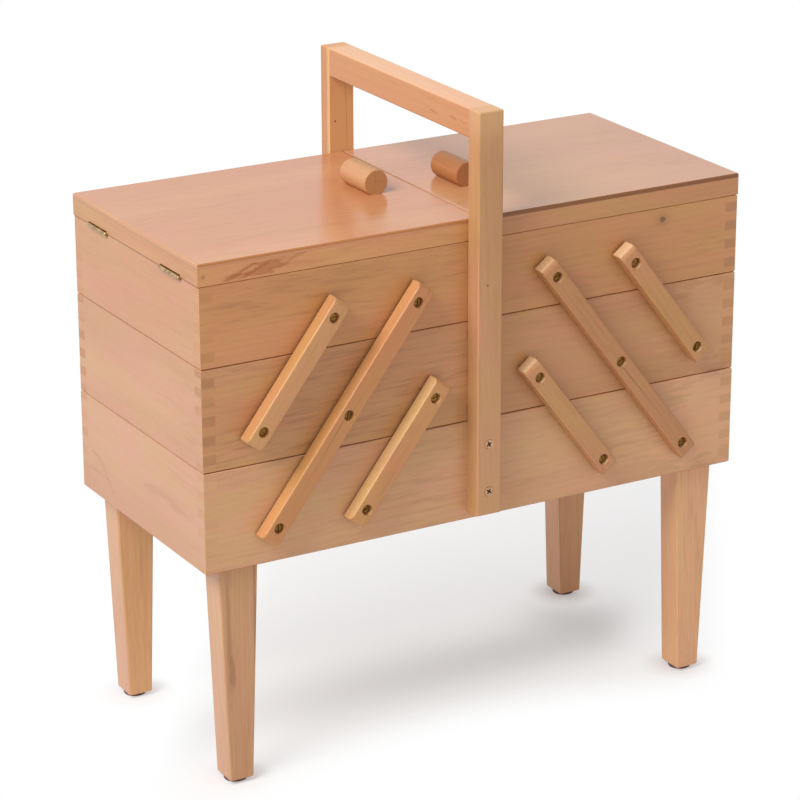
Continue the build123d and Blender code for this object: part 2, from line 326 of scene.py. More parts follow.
def woodFinish(node, figure, turn, seed, edgeBand=None, endRail=None):
    # edgeBand adds the lines along a lid's edges, some of them painted shade, and endRail is 1 where a
    # frame's grain runs across it
    material, shader, surface = newFinish(
        f"wood.{node}", Specular_IOR_Level=0.5, Coat_Roughness=0.14, Coat_IOR=1.5,
    )
    coords = shader.node("ShaderNodeTexCoord", output="Object")
    place, spin, shift = alongGrain(shader, coords, turn, middleOf(node), seed)
    if endRail:
        across = alongGrain(shader, coords, grainTurns["y"], middleOf(node), seed + 0.7)[0]
        place = shader.mix("place", endRail(shader, coords), place, across)

    # growth rings round the heart of the log, which wander along the board and bend round its knots
    fromHeart = shader.vector("MULTIPLY", place, (0, 1, 1))
    radius = shader.vector("LENGTH", fromHeart, output="Value")
    radius = radius + shader.noise("wander", place, seed) * (woodShared["wander"] * mm)
    knots = []
    for mark in woodMarks.get(node, ()):
        reach = knotReach(shader, place, spin, shift, mark, shader.noise("stray", place, seed))
        swell = shader.maths("EXPONENT", reach * reach * -0.5)
        radius = radius + swell * (mark["bend"] * mm)
        knots.append((reach, swell, mark))
    grain = growGrain(shader, place, seed, radius, figure["ringWidth"])

    deep = tinted(figure["tone"], woodTints["lines"])
    colour = longGrain(shader, figure, grain, deep)
    normal = shader.node("ShaderNodeTexCoord", output="Normal")
    cut = 0.0
    if not endRail:
        # end grain where the surface looks along the grain
        way = spin.to_matrix().inverted() @ Vector((1, 0, 0))
        along = shader.maths("ABSOLUTE", shader.vector("DOT_PRODUCT", normal, tuple(way), output="Value"))
        cut = shader.maths("GREATER_THAN", along, woodShared["endLimit"])
        colour = shader.blend(cut, colour, endGrain(shader, figure, coords, place, seed, grain["late"]))
    colour = markedColour(shader, colour, knots, deep)
    colour = paintedFaceLight(shader, colour, figure, normal)
    if edgeBand:
        colour = edgeBand(shader, coords, normal, colour)

    roughness = figure["roughness"] + grain["fibres"] * woodShared["fibreRough"]
    roughness = roughness + cut * woodShared["endRough"]
    relief = sum(grain[part] * share for part, share in woodShared["relief"].items())
    feedSurface(shader, surface, colour, roughness, relief, strength=0.14, distance=0.2)
    bare = grain["dashes"] * (figure["coat"] * woodShared["bareDashes"])
    shader.feed(surface.inputs["Coat Weight"], figure["coat"] - bare)
    return material


def dressNode(name, material):
    for holder in cadNodes[name].material_slots:
        holder.material = material


def middleOf(name):
    low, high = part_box(name)
    return (low + high) / 2


# Trays: long boards have their grain along the case, end boards across it. front and side are the
# shares of end grain that show on the long faces and on the ends, and sawn and even are its tint and its
# evenness in front.
trayWoods = {
    "base": {
        "long": (0.625, 0.338, 0.164), "ends": (0.520, 0.278, 0.152), "veins": 0.45,
        "front": 0.14, "side": 0.35, "sawn": (0.72, 0.58, 0.52), "even": 0.0,
    },
    "left_middle": {
        "long": (0.545, 0.264, 0.108), "ends": (0.510, 0.267, 0.146), "veins": 0.85,
        "front": 0.9, "side": 0.9, "sawn": (0.70, 0.60, 0.58), "even": 0.0,
    },
    "right_middle": {
        "long": (0.560, 0.274, 0.116), "ends": (0.510, 0.267, 0.146), "veins": 0.60,
        "front": 0.30, "side": 0.45, "sawn": (0.84, 0.80, 0.84), "even": 0.5,
    },
    "left_top": {
        "long": (0.555, 0.252, 0.092), "ends": (0.510, 0.257, 0.133), "veins": 0.70,
        "front": 0.35, "side": 0.35, "sawn": (0.72, 0.58, 0.52), "even": 0.0,
    },
    "right_top": {
        "long": (0.570, 0.266, 0.100), "ends": (0.510, 0.257, 0.133), "veins": 0.40,
        "front": 1.0, "side": 0.45, "sawn": (0.83, 0.82, 0.95), "even": 0.9,
    },
}
traySeeds = {"long": (1.0, 2.3), "back": 0.9, "ends": (12.0, 1.7), "bottom": (21.0, 1.0)}
bottomTone = (0.64, 0.37, 0.19)
smudge = {"bend": 4, "halo": 0.20, "core": 0.15, "ragged": 2.2, "colour": (0.34, 0.165, 0.092)}
paler = {"core": 0.36, "ragged": 1.8}
woodMarks.update({
    "base_end_boards": [
        spot((-220, -30, 206), (26, 8, 3.2), smudge, tilt=-0.10),
        spot((-220, -62, 203), (16, 8, 2.2), smudge),
        spot((-220, 74, 199), (11, 8, 1.2), smudge, tilt=0.30, core=0.26),
        spot((-220, 58, 188), (11, 8, 1.2), smudge, tilt=1.0, core=0.26),
    ],
    "base_front_board": [spot((208, -100, 208), (58, 30, 44), paler, colour=(0.880, 0.440, 0.250))],
    "right_middle_front_board": [spot((212, -100, 284), (52, 30, 40), paler, colour=(0.720, 0.370, 0.200))],
    "right_top_front_board": [
        # a knot with a dark heart
        spot((154, -99.5, 368.5), (6.2, 8, 5.4), bend=3, halo=0.25, core=0.22, colour=(0.32, 0.135, 0.058)),
        spot((154.5, -99.5, 368), (2.9, 8, 2.5), bend=2, halo=0.10, core=0.78, colour=(0.17, 0.070, 0.034)),
    ],
})


def seedOf(kind, number):
    first, step = traySeeds[kind]
    return first + number * step


# every board's eased edges that look down get painted shade, standing for the shade in the seams between
# trays
for number, (tray, tones) in enumerate(trayWoods.items()):
    for face in faces:
        node = f"{tray}_{face}_board"
        seed = seedOf("long", number) + (traySeeds["back"] if face == "back" else 0.0)
        figure = wood(
            tones["long"], endPale=tones["ends"], endShare=tones["side"], veins=tones["veins"], blush=0.85,
            under=0.8,
        )
        dressNode(node, woodFinish(node, figure, grainTurns["x"], seed))
    node = f"{tray}_end_boards"
    figure = wood(
        tones["ends"], endPale=tones["long"], end=tones["sawn"], endShare=tones["front"],
        endEven=tones["even"], rings=0.06, fibres=0.20, flecks=0.14, veins=0.25, under=0.8,
    )
    dressNode(node, woodFinish(node, figure, grainTurns["y"], seedOf("ends", number)))
    node = f"{tray}_bottom_panel"
    figure = wood(bottomTone, rings=0.16, fibres=0.18, flecks=0.12, ringWidth=6.0)
    dressNode(node, woodFinish(node, figure, grainTurns["x"], seedOf("bottom", number)))
print("trays dressed")


# Lids
lidShape = {"foot": 377.0, "joint": 389.5, "top": 393.0, "outer": 221.0, "inner": 0.5, "reach": 101.0}
lidLines = {
    "bandWidth": 2.8, "bandFade": (0.8, 1.15), "bandTip": 0.08,
    "bandEnd": {"left": 222.0, "right": 213.0}, "bandLeast": {"left": 0.72, "right": 1.12},
    "bandColour": {"left": (0.375, 0.125, 0.006), "right": (0.205, 0.060, 0.002)},
    "bandShare": {"left": 0.70, "right": 0.92},
    "joint": (0.3, 0.9), "jointDark": 0.52, "jointPaler": 0.3, "seam": (0.6, 1.1), "seamShade": 0.22,
    "seamShadeToBack": 0.45, "foot": (0.4, 0.9), "footDark": 0.8, "colour": (0.250, 0.094, 0.030),
}


def past(shader, value, start, fade):
    # 0 up to the first distance past the start and 1 from the second on
    return shader.within(value, (start + fade[0]) * mm, (start + fade[1]) * mm)


def lidBand(side):
    # the upper part of the panel's front edge is darker, and on the left widest near the handle
    def band(shader, coords, normal, colour):
        x, y, z = shader.parts(coords)
        front = shader.maths("LESS_THAN", shader.parts(normal)[1], -0.5)
        wide = 1 - shader.maths("ABSOLUTE", x) / (lidLines["bandEnd"][side] * mm)
        wide = shader.maths("MAXIMUM", wide, lidLines["bandLeast"][side])
        depth = (lidShape["top"] * mm - z) / (wide * (lidLines["bandWidth"] * mm) + 0.00001)
        dark = front * (1 - shader.within(depth, *lidLines["bandFade"]))
        dark = dark * shader.within(wide, 0.0, lidLines["bandTip"])
        colour = shader.blend(dark * lidLines["bandShare"][side], colour, rgb(*lidLines["bandColour"][side]))
        # fine dark lines where the panel meets the frame, and painted shade at the eased edge where the lids
        # meet, darker towards the back
        joint = 1 - past(shader, z, lidShape["joint"], lidLines["joint"])
        seam = 1 - past(shader, shader.maths("ABSOLUTE", x), 0, lidLines["seam"])
        toBack = shader.within(y, -80 * mm, 40 * mm)
        seam = seam * (toBack * lidLines["seamShadeToBack"] + lidLines["seamShade"])
        joint = joint * (lidLines["jointDark"] - front * lidLines["jointPaler"])
        lines = shader.maths("MAXIMUM", joint, seam)
        return shader.blend(lines, colour, rgb(*lidLines["colour"]))
    return band


def lidFootShade(shader, coords, normal, colour):
    # painted shade: a fine dark line along the bottom of the end rails, where the lid meets the tray
    z = shader.parts(coords)[2]
    line = 1 - past(shader, z, lidShape["foot"], lidLines["foot"])
    ends = shader.within(shader.maths("ABSOLUTE", shader.parts(normal)[0]), 0.3, 0.6)
    return shader.blend(line * ends * lidLines["footDark"], colour, rgb(*lidLines["colour"]))


def endRail(shader, coords):
    # 1 on the rails across the case, up to the mitres
    x, y, _ = shader.parts(coords)
    out = shader.maths("ABSOLUTE", x)
    fromEnd = shader.maths("MINIMUM", lidShape["outer"] * mm - out, out - lidShape["inner"] * mm)
    fromFront = lidShape["reach"] * mm - shader.maths("ABSOLUTE", y)
    return shader.maths("LESS_THAN", fromEnd, fromFront)


lidWoods = {
    "left": {"panel": (0.598, 0.262, 0.120), "frame": (0.600, 0.277, 0.102), "seeds": (31.0, 35.0)},
    "right": {"panel": (0.568, 0.268, 0.139), "frame": (0.545, 0.253, 0.100), "seeds": (32.9, 36.3)},
}
endFace, endEdge = (-1, 0, 0), (-0.71, 0, 0.71)
flame = {
    "lean": 2.2, "bend": 5, "halo": 0.30, "core": 0.44, "rim": 0.12, "ragged": 2.6,
    "colour": (0.345, 0.075, 0.001),
}
woodMarks.update({
    "left_lid_frame": [
        spot((-192, -101, 381.5), (3.0, 8, 5.5), flame, core=0.50),
        spot((-171, -101, 383), (13, 8, 6), flame),
        spot((-179, -101, 382), (2.6, 8, 4.5), flame),
        spot((-150, -101, 386), (3.0, 8, 3.5), flame, core=0.12),
        spot((-216.5, -101, 383.5), (1.8, 8, 1.4), bend=1, halo=0.2, core=0.45, colour=(0.22, 0.08, 0.03)),
    ],
    # paler towards the post
    "right_lid_panel": [
        spot((72, -50, 393), (130, 80, 40), core=0.62, fades=0.0, ragged=0.5, colour=(0.680, 0.350, 0.140)),
    ],
})
for side, lid in lidWoods.items():
    panelSeed, frameSeed = lid["seeds"]
    node = f"{side}_lid_panel"
    # painted light and shade: the panel's left end face and its eased top edge are tinted as the lamp falls
    # on them
    figure = wood(
        lid["panel"], end=(0.98, 0.97, 0.96), rings=0.05, fibres=0.28, flecks=0.30, veins=0.30,
        ringWidth=9.0, roughness=0.16, coat=0.0, blush=0.6,
        faceTints=[(endFace, (0.83, 0.95, 1.04)), (endEdge, (0.92, 1.06, 1.15))],
    )
    dressNode(node, woodFinish(node, figure, grainTurns["x"], panelSeed, lidBand(side)))
    node = f"{side}_lid_frame"
    # painted shade on the frame's eased edges that look down, where the lid meets the tray, and a darker left
    # end face as the lamp falls on it
    figure = wood(lid["frame"], under=0.8, faceTints=[(endFace, (0.79, 0.84, 0.95))])
    dressNode(node, woodFinish(node, figure, grainTurns["x"], frameSeed, lidFootShade, endRail))
print("lids dressed")


# Brass and plastic. headFace is how far out the faces of the screws' heads lie.
def brassFinish(name, tone, dull, headFace=None):
    material, shader, surface = newFinish(name, Metallic=1.0)
    coords = shader.node("ShaderNodeTexCoord", output="Object")
    tarnish = shader.noise("tarnish", coords)
    colour = shader.blend(shader.within(tarnish, 0.35, 0.7), tone, tinted(tone, (0.6, 0.55, 0.5)))
    if headFace:
        # painted shade: the cross in a screw's head is dark inside
        out = shader.maths("ABSOLUTE", shader.parts(coords)[1])
        face = shader.within(out, (headFace - 0.5) * mm, (headFace - 0.25) * mm)
        colour = shader.blend(face, tinted(tone, (0.10, 0.07, 0.05)), colour)
    grit = shader.noise("grit", coords)
    feedSurface(shader, surface, colour, dull + tarnish * 0.2, grit, strength=0.15, distance=0.05)
    return material


def glideFinish():
    material, shader, surface = newFinish("plastic.glides", Specular_IOR_Level=0.4)
    coords = shader.node("ShaderNodeTexCoord", output="Object")
    scuffs = shader.noise("scuffs", coords)
    worn = shader.within(scuffs, 0.4, 0.75)
    colour = shader.blend(worn, rgb(0.115, 0.062, 0.042), rgb(0.200, 0.125, 0.090))
    feedSurface(shader, surface, colour, 0.45 + scuffs * 0.25, scuffs, strength=0.2, distance=0.1)
    return material


screwBrass = brassFinish("brass.pivots", rgb(0.255, 0.138, 0.033), 0.28)
woodScrewBrass = brassFinish("brass.wood_screws", rgb(0.64, 0.40, 0.24), 0.30, 114.0)
hingeBrass = brassFinish("brass.hinges", rgb(0.56, 0.41, 0.22), 0.26)


# Modelling helpers
def clearSelection():
    bpy.ops.object.select_all(action="DESELECT")


def setPlace():
    # moves the place of the piece just added into its mesh, with its object at the origin
    bpy.ops.object.transform_apply(location=True, rotation=True, scale=True)
    return bpy.context.object


def addBlock(name, low, high):
    low, high = Vector(low) * mm, Vector(high) * mm
    clearSelection()
    bpy.ops.mesh.primitive_cube_add(size=1, location=(low + high) / 2)
    bpy.context.object.name = name
    bpy.context.object.scale = high - low
    return setPlace()


def workOn(piece):
    clearSelection()
    bpy.context.view_layer.objects.active = piece
    piece.select_set(True)


def startEdit(piece, kind):
    # edit mode on this piece alone, with nothing selected
    workOn(piece)
    bpy.ops.object.mode_set(mode="EDIT")
    bpy.ops.mesh.select_mode(type=kind)
    bpy.ops.mesh.select_all(action="DESELECT")
    return bmesh.from_edit_mesh(piece.data)


def pickEdges(piece, wanted):
    shape = startEdit(piece, "EDGE")
    for edge in shape.edges:
        if wanted(*[corner.co / mm for corner in edge.verts]):
            edge.select_set(True)
    bmesh.update_edit_mesh(piece.data)


def roundEdges(piece, wanted, width, steps):
    pickEdges(piece, wanted)
    bpy.ops.mesh.bevel(offset=width * mm, segments=steps, profile=0.5)
    bpy.ops.object.mode_set(mode="OBJECT")


def same(a, b):
    # are these two lengths the same, to a hundredth of a millimetre?
    return abs(a - b) < 0.01


def both(a, b, axis, value):
    # do both ends of an edge lie at this value along the axis?
    return same(a[axis], value) and same(b[axis], value)


def turnRod(name, rings, steps=40):
    # a turned piece along Y: a disc that is extruded and resized from ring to ring, each (y, radius)
    clearSelection()
    start, radius = rings[0]
    bpy.ops.mesh.primitive_circle_add(
        vertices=steps, radius=radius * mm, fill_type="NGON",
        location=(0, start * mm, 0), rotation=(pi / 2, 0, 0),
    )
    bpy.context.object.name = name
    rod = setPlace()
    startEdit(rod, "FACE")
    bpy.ops.mesh.select_all(action="SELECT")
    for (y, radius), (nextY, nextRadius) in zip(rings, rings[1:]):
        bpy.ops.mesh.extrude_region_move(TRANSFORM_OT_translate={"value": (0, (nextY - y) * mm, 0)})
        share = nextRadius / radius
        bpy.ops.transform.resize(value=(share, 1, share), center_override=(0, nextY * mm, 0))
    bpy.ops.mesh.select_all(action="SELECT")
    bpy.ops.mesh.normals_make_consistent(inside=False)
    bpy.ops.object.mode_set(mode="OBJECT")
    return rod


def dropPiece(piece):
    bpy.data.objects.remove(piece, do_unlink=True)


def combine(piece, tool, operation):
    # carves the tool out of the piece, or welds it on
    workOn(piece)
    cut = piece.modifiers.new("cut", "BOOLEAN")
    cut.object = tool
    cut.operation = operation
    cut.solver = "EXACT"
    bpy.ops.object.modifier_apply(modifier=cut.name)
    dropPiece(tool)


# how far a cutting tool stands out of the face that it cuts
toolOut = 1


def carve(piece, tool):
    combine(piece, tool, "DIFFERENCE")


def weld(piece, tool):
    combine(piece, tool, "UNION")


def copyPiece(source, name, matrix):
    twin = bpy.data.objects.new(name, source.data.copy())
    twin.data.transform(matrix)
    bpy.context.scene.collection.objects.link(twin)
    return twin


def joinPieces(name, pieces):
    clearSelection()
    for piece in pieces:
        piece.select_set(True)
    bpy.context.view_layer.objects.active = pieces[0]
    bpy.ops.object.join()
    bpy.context.object.name = name
    return bpy.context.object


smoothBelow = radians(32)


def finishPiece(piece, body, slot, material, *replaced):
    workOn(piece)
    bpy.ops.object.shade_smooth_by_angle(angle=smoothBelow)
    even = piece.modifiers.new("even", "WEIGHTED_NORMAL")
    even.keep_sharp = True
    bpy.ops.object.modifier_apply(modifier=even.name)
    piece.data.materials.clear()
    piece.data.materials.append(material)
    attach(piece, body)
    if replaced:
        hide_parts(*replaced)


def settled(matrix, place):
    return Matrix.Translation(Vector(place) * mm) @ matrix


def facing(face):
    # turns what looks along -Y to the front or to the back
    return Matrix.Rotation(0 if face < 0 else pi, 4, "Z")


# Levers: flat bars with rounded ends and edges, and a recess for each pivot screw
linkage = {
    "topPivot": 57.0, "travel": 111.5, "innerSpacing": 69.5, "outerSpacing": 66.5,
    "baseHeight": 197.0, "rise": 73.0, "plane": 101.5,
}
leverShape = {
    "width": 14.5, "thickness": 11.0, "overrun": 12.5, "endRound": 4.6, "sideRound": 1.2, "backRound": 0.5,
    "recessRadius": 4.0, "recessDepth": 3.6, "rimRound": 0.3, "rimSlack": 0.05,
}
longPivots = [
    (linkage["topPivot"] + linkage["travel"] * (1 - i / 2), linkage["baseHeight"] + linkage["rise"] * i)
    for i in range(3)
]
leverPivots = {
    "long": longPivots,
    "inner": [(x - linkage["innerSpacing"], z) for x, z in longPivots[:2]],
    "outer": [(x + linkage["outerSpacing"], z) for x, z in longPivots[1:]],
}
segment = hypot(linkage["travel"] / 2, linkage["rise"])


def leverBlank(name, holes):
    # along X from its first pivot, with its outer face at y = -thickness
    shape = leverShape
    half, depth = shape["width"] / 2, -shape["thickness"]
    length = segment * (holes - 1)
    start, end = -shape["overrun"], length + shape["overrun"]
    blank = addBlock(name, (start, depth, -half), (end, 0, half))

    def longEdges(a, b):
        return same(abs(a.z), half) and both(a, b, 2, a.z) and not both(a, b, 1, 0)

    def offRim(p):
        # how far a corner is from the rim of the nearest recess
        return min(abs(hypot(p.x - segment * i, p.z) - shape["recessRadius"]) for i in range(holes))

    def onRim(a, b):
        return both(a, b, 1, depth) and max(offRim(a), offRim(b)) < shape["rimSlack"]

    roundEdges(blank, lambda a, b: both(a, b, 1, depth) and same(a.x, b.x), shape["endRound"], 6)
    roundEdges(blank, longEdges, shape["sideRound"], 3)
    roundEdges(blank, lambda a, b: both(a, b, 1, 0), shape["backRound"], 2)
    for i in range(holes):
        floor = depth + shape["recessDepth"]
        tool = turnRod("recess", [(floor, shape["recessRadius"]), (depth - toolOut, shape["recessRadius"])])
        tool.data.transform(Matrix.Translation((segment * i * mm, 0, 0)))
        carve(blank, tool)
    roundEdges(blank, onRim, shape["rimRound"], 2)
    return blank


blanks = {"long": leverBlank("longBlank", 3), "short": leverBlank("shortBlank", 2)}
leverTones = {
    "left": {"long": (0.550, 0.245, 0.083), "inner": (0.560, 0.258, 0.092), "outer": (0.585, 0.295, 0.115)},
    "right": {"long": (0.475, 0.215, 0.078), "inner": (0.540, 0.258, 0.102), "outer": (0.560, 0.270, 0.104)},
}
# painted light and shade: tints that make the left levers' upper sides paler or darker as the lamp falls on
# them, and a painted highlight on the right levers' upper ends
upperSideLight = {"long": (1.09, 1.24, 1.36), "inner": (1.28, 1.66, 2.15), "outer": (0.92, 0.89, 0.88)}
upperEndHighlight = (1.24, 1.50, 1.98)
seed, seedStep = 41.0, 1.37
for side, sign in sides.items():
    for face, look in faces.items():
        for lever, pivots in leverPivots.items():
            points = [Vector((sign * x, 0, z)) for x, z in pivots]
            along = (points[-1] - points[0]).normalized()
            inward = Vector((0, -look, 0))
            matrix = Matrix((along, inward, along.cross(inward))).transposed().to_4x4()
            matrix = settled(matrix, points[0] + Vector((0, look * linkage["plane"], 0)))
            node = f"{side}_{face}_{lever}_lever"
            piece = copyPiece(blanks["long" if lever == "long" else "short"], node + "_bar", matrix)
            lean = degrees(atan2(along.z, along.x))
            upperSide = along.cross(Vector((0, 1, 0)))
            upperSide *= 1 if upperSide.z > 0 else -1
            tints = {"left": (upperSide, upperSideLight[lever]), "right": (along, upperEndHighlight)}
            # the end grain is paler than the sides: painted light for the bright upper ends, which the lower
            # ends share
            figure = wood(
                leverTones[side][lever], end=(1.10, 1.25, 1.35), endEven=0.6, rings=0.16, fibres=0.24,
                ringWidth=3.4, roughness=0.38, coat=0.08, faceTints=[tints[side]],
            )
            seed += seedStep
            finish = woodFinish(node, figure, (0, lean, 0), seed)
            finishPiece(piece, f"{side}_{lever}_arms", "lever_wood", finish, node)
for blank in blanks.values():
    dropPiece(blank)
print("levers made")


# Pivot screws: a slotted head in the recess, a shank, and a washer between the lever and the board
pivotShape = {
    "headRadius": 3.2, "headHeight": 1.2, "shankRadius": 2.4, "washerRadius": 5.8,
    "washerEase": 0.2, "washerLift": 0.05, "slotWidth": 0.95, "slotDepth": 0.7, "slotReach": 5,
    "turnStep": 67, "firstTurns": {"base": 20, "left": 35, "right": 85},
}


def pivotBlank(name, gap):
    # y = 0 is the lever's inner face, and the head looks along -Y
    shape = pivotShape
    floor = leverShape["recessDepth"] - leverShape["thickness"]
    top = floor - shape["headHeight"]
    head, washer, shank = shape["headRadius"], shape["washerRadius"], shape["shankRadius"]
    ease, lift = shape["washerEase"], shape["washerLift"]
    blank = turnRod(name, [
        (gap, washer - ease), (gap - ease, washer), (lift + ease, washer), (lift, washer - ease),
        (lift, shank), (floor, shank), (floor, head - 0.1), (floor - 0.1, head), (top + 0.5, head),
        (top + 0.2, head - 0.15), (top + 0.05, head - 0.5), (top, head - 1.1),
    ])
    half = shape["slotWidth"] / 2
    reach = shape["slotReach"]
    carve(blank, addBlock("slot", (-reach, top - toolOut, -half), (reach, top + shape["slotDepth"], half)))
    return blank


pivotBlanks = {"base": pivotBlank("basePivot", 1.5), "upper": pivotBlank("upperPivot", 2.0)}
trayPivots = {
    "base": [leverPivots["long"][0], leverPivots["inner"][0]],
    "middle": [leverPivots["long"][1], leverPivots["inner"][1], leverPivots["outer"][0]],
    "top": [leverPivots["long"][2], leverPivots["outer"][1]],
}


def pivotSet(tray, sideNames, level, blank, body, turn):
    # all the screws of one tray, each with its slot at its own angle
    screws = []
    for side in sideNames:
        for face in faces.values():
            for x, z in trayPivots[level]:
                turn += pivotShape["turnStep"]
                matrix = facing(face) @ Matrix.Rotation(radians(turn), 4, "Y")
                place = (sides[side] * x, face * linkage["plane"], z)
                screws.append(copyPiece(blank, "screw", settled(matrix, place)))
    piece = joinPieces(f"{tray}_pivot_set", screws)
    finishPiece(piece, body, "brass", screwBrass, f"{tray}_pivot_screws")


firstTurns = pivotShape["firstTurns"]
pivotSet("base", sides, "base", pivotBlanks["base"], "root", firstTurns["base"])
for side in sides:
    for level in ("middle", "top"):
        tray = f"{side}_{level}"
        pivotSet(tray, [side], level, pivotBlanks["upper"], f"{tray}_tray", firstTurns[side])
for blank in pivotBlanks.values():
    dropPiece(blank)
print("pivot screws made")


# Carrying handle: two posts screwed to the base tray and a bar between them
handleShape = {
    "width": 20.0, "thickness": 14.0, "foot": 174.0, "top": 472.5, "barHeight": 21.0, "caseDepth": 200.0,
    "edgeRound": 1.2, "screwHeights": (192.0, 228.0), "sinkRadius": 3.9, "sinkDepth": 2.6,
}
# leftShade darkens each post's left face: painted shade
postWoods = {
    "front": {"tone": (0.545, 0.275, 0.118), "leftShade": (0.92, 0.93, 0.95), "seed": 61.0},
    "back": {"tone": (0.560, 0.258, 0.100), "leftShade": (0.95, 0.97, 0.92), "seed": 63.7},
}
handleScrew = {
    "headRadius": 3.45, "headDepth": 2.2, "stem": 4, "stemRadius": 1.5, "below": 0.15,
    "arm": 2.2, "armWidth": 1.1, "crossDepth": 1.0, "turns": (35, 62),
}


def crossScrew(name):
    # a countersunk head at y = 0 that looks along -Y, with a cross in it
    shape = handleScrew
    head, top = shape["headRadius"], shape["below"]
    blank = turnRod(name, [
        (shape["headDepth"] + shape["stem"], shape["stemRadius"]), (shape["headDepth"], shape["stemRadius"]),
        (top + 0.25, head), (top, head - 0.12), (top - 0.12, head - 1.4),
    ], 32)
    for width, height in ((shape["arm"], shape["armWidth"] / 2), (shape["armWidth"] / 2, shape["arm"])):
        low, high = (-width, top - toolOut, -height), (width, top + shape["crossDepth"], height)
        carve(blank, addBlock("arm", low, high))
    return blank


halfPost, postFace = handleShape["width"] / 2, -handleShape["thickness"]
postBlank = addBlock(
    "postBlank", (-halfPost, postFace, handleShape["foot"]), (halfPost, 0, handleShape["top"]),
)


def postEdge(a, b):
    # the outer face's edges, and the top's edges but for the one over the bar
    onTop = both(a, b, 2, handleShape["top"]) and not both(a, b, 1, 0)
    return both(a, b, 1, postFace) or onTop


roundEdges(postBlank, postEdge, handleShape["edgeRound"], 3)
for height in handleShape["screwHeights"]:
    sink = turnRod("sink", [
        (handleShape["sinkDepth"] + postFace, handleScrew["stemRadius"]),
        (postFace, handleShape["sinkRadius"]), (postFace - toolOut, handleShape["sinkRadius"]),
    ], 32)
    sink.data.transform(Matrix.Translation((0, 0, height * mm)))
    carve(postBlank, sink)
pinhole = {"bend": 0.3, "core": 0.85, "ragged": 0.0, "colour": (0.14, 0.055, 0.025)}
streak = {"bend": 1, "halo": 0.10, "ragged": 1.0, "colour": (0.42, 0.150, 0.060), "tilt": 0.12}
woodMarks.update({
    "front_post": [
        # paler towards the top
        spot((0, -112, 472), (31, 30, 30), core=0.55, fades=0.0, ragged=0.4, colour=(0.720, 0.410, 0.190)),
        spot((-2.3, -114, 347), (0.9, 5, 0.9), pinhole),
    ],
    "back_post": [
        # paler over the front face of the post towards its top, a pinhole and a fine crack
        spot((4, 96, 420), (900, 9, 60), core=0.9, colour=(0.760, 0.400, 0.165)),
        spot((-5.6, 100, 416.5), (0.9, 5, 0.9), pinhole),
        spot((3.9, 100, 424), (30, 5, 0.4), halo=0.1, core=0.34, colour=(0.26, 0.105, 0.035)),
    ],
    "crossbar": [
        spot((-10, -52, 459.5), (5.5, 4, 0.7), streak), spot((-10, -79, 461), (5, 4, 1.0), streak),
        spot((-10, -92, 461), (4.5, 4, 0.6), streak),
    ],
})
screwBlank = crossScrew("crossScrew")
halfCase = handleShape["caseDepth"] / 2
for face, look in faces.items():
    node = f"{face}_post"
    piece = copyPiece(postBlank, node + "_bar", settled(facing(look), (0, look * halfCase, 0)))
    tones = postWoods[face]
    figure = wood(
        tones["tone"], end=(1.30, 1.42, 1.60), endEven=0.7, ringWidth=3.4, veins=0.3,
        faceTints=[((-1, 0, 0), tones["leftShade"])],
    )
    finishPiece(piece, "root", "post_wood", woodFinish(node, figure, grainTurns["z"], tones["seed"]), node)
    screws = []
    for turn, height in zip(handleScrew["turns"], handleShape["screwHeights"]):
        matrix = facing(look) @ Matrix.Rotation(radians(turn), 4, "Y")
        place = (0, look * (halfCase + handleShape["thickness"]), height)
        screws.append(copyPiece(screwBlank, "screw", settled(matrix, place)))
    finishPiece(joinPieces(f"{face}_post_screws", screws), "root", "brass", woodScrewBrass)
dropPiece(postBlank)

barFoot = handleShape["top"] - handleShape["barHeight"]
bar = addBlock("crossbar_bar", (-halfPost, -halfCase, barFoot), (halfPost, halfCase, handleShape["top"]))
roundEdges(bar, lambda a, b: abs(a.y - b.y) > 1, handleShape["edgeRound"], 3)
# painted light and shade: the bar's top is tinted paler, with a painted sheen, and its left face darker, as
# the lamps fall on them
figure = wood(
    (0.655, 0.355, 0.194), rings=0.14, fibres=0.20, flecks=0.18, veins=0.2, blush=0.45,
    faceTints=[((0, 0, 1), (1.20, 1.155, 1.08)), ((-1, 0, 0), (0.81, 0.66, 0.47))],
)
finishPiece(bar, "root", "bar_wood", woodFinish("crossbar", figure, grainTurns["y"], 67.3), "crossbar")
print("handle made")


# Legs, their glides, and the screws that hold them through the floor of the base tray
legShape = {
    "height": 165.0, "topWidth": 31.0, "footWidth": 18.5, "thickness": 22.0, "edgeRound": 1.3,
    "footRound": 0.8, "outX": 192.0, "outY": 83.0, "glide": 3.0, "glideRadius": 8.5,
    "trayFloor": 174.0, "screwOut": 8.0, "turnStep": 31,
}


def legBlank():
    shape = legShape
    foot, deep = shape["footWidth"] / 2, shape["thickness"] / 2
    top = shape["glide"] + shape["height"]
    blank = addBlock("legBlank", (-foot, -deep, shape["glide"]), (foot, deep, top))
    mesh = startEdit(blank, "FACE")
    for side in mesh.faces:
        side.select_set(side.normal.z > 0.9)
    bmesh.update_edit_mesh(blank.data)
    share = shape["topWidth"] / shape["footWidth"]
    bpy.ops.transform.resize(value=(share, 1, 1), center_override=(0, 0, top * mm))
    bpy.ops.object.mode_set(mode="OBJECT")
    roundEdges(blank, lambda a, b: abs(a.z - b.z) > 10, shape["edgeRound"], 3)
    roundEdges(blank, lambda a, b: both(a, b, 2, shape["glide"]), shape["footRound"], 2)
    return blank


